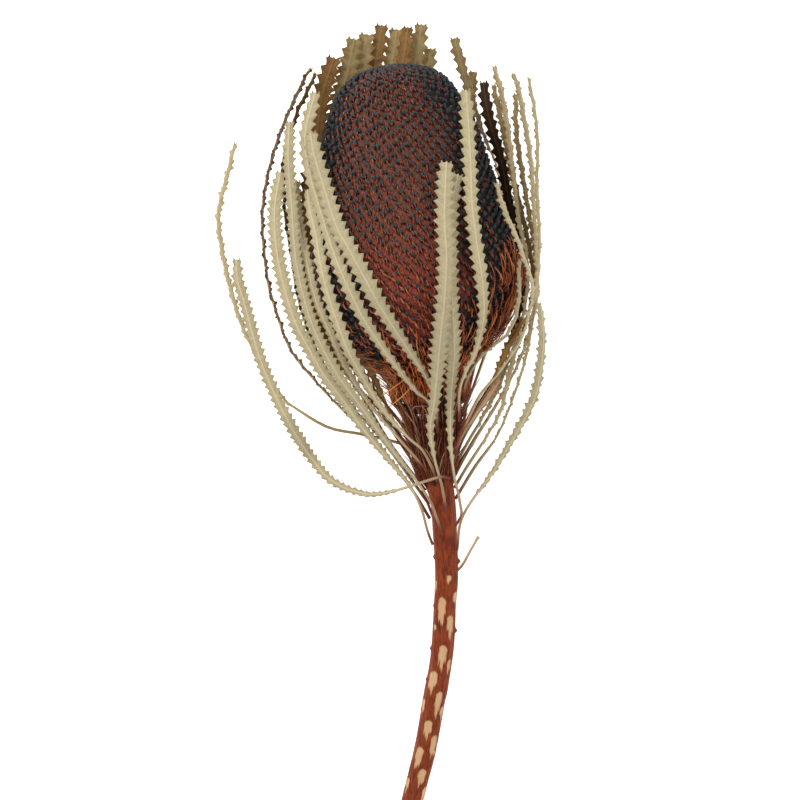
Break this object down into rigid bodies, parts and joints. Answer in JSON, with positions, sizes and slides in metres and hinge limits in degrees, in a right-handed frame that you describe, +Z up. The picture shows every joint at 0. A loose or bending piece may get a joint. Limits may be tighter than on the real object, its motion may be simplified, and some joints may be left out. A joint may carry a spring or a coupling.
{
  "type": "dried banksia flower head",
  "caption": "Dried acorn-shaped banksia flower head on a cut curved stem, ringed by long narrow saw-edged leaves, lying on its side.",
  "frame": {"origin": "on the small flat spot under the widest part of the head, at the surface that it lies on", "axes": "+Y from the cut end of the stem towards the tip of the head, +X to the right seen from above, +Z up"},
  "size_m": [0.1195, 0.2996, 0.0788],
  "materials": {
    "bark": "matte",
    "floret": "matte",
    "leaf_pale": "matte",
    "leaf_inner": "matte",
    "leaf_dark": "matte"
  },
  "bodies": {
    "root": {"stem": "bark", "flower_head": "floret", "leaf_crown_1": "leaf_inner", "leaf_crown_2": "leaf_inner", "leaf_crown_3": "leaf_inner", "leaf_crown_4": "leaf_inner", "leaf_crown_5": "leaf_inner", "leaf_crown_6": "leaf_inner", "leaf_crown_7": "leaf_inner", "leaf_crown_8": "leaf_inner", "leaf_right_1": "leaf_inner", "leaf_right_2": "leaf_inner", "leaf_right_3": "leaf_dark", "leaf_right_4": "leaf_inner", "leaf_right_5": "leaf_inner", "leaf_right_6": "leaf_pale", "leaf_right_7": "leaf_pale", "leaf_right_8": "leaf_pale", "leaf_right_9": "leaf_pale", "leaf_left_1": "leaf_inner", "leaf_left_2": "leaf_inner", "leaf_left_3": "leaf_pale", "leaf_left_4": "leaf_pale", "leaf_low_right_1": "leaf_pale", "leaf_low_right_2": "leaf_pale", "leaf_low_right_3": "leaf_pale", "leaf_low_right_4": "leaf_pale", "leaf_low_right_5": "leaf_inner", "leaf_low_right_6": "leaf_pale", "leaf_front_left_1": "leaf_pale", "leaf_front_left_2": "leaf_pale", "leaf_front_left_3": "leaf_pale", "leaf_front_left_4": "leaf_pale", "leaf_front_left_5": "leaf_pale", "leaf_front_left_6": "leaf_pale", "leaf_front_1": "leaf_pale", "leaf_front_2": "leaf_pale", "leaf_front_3": "leaf_pale"}
  },
  "joints": []
}
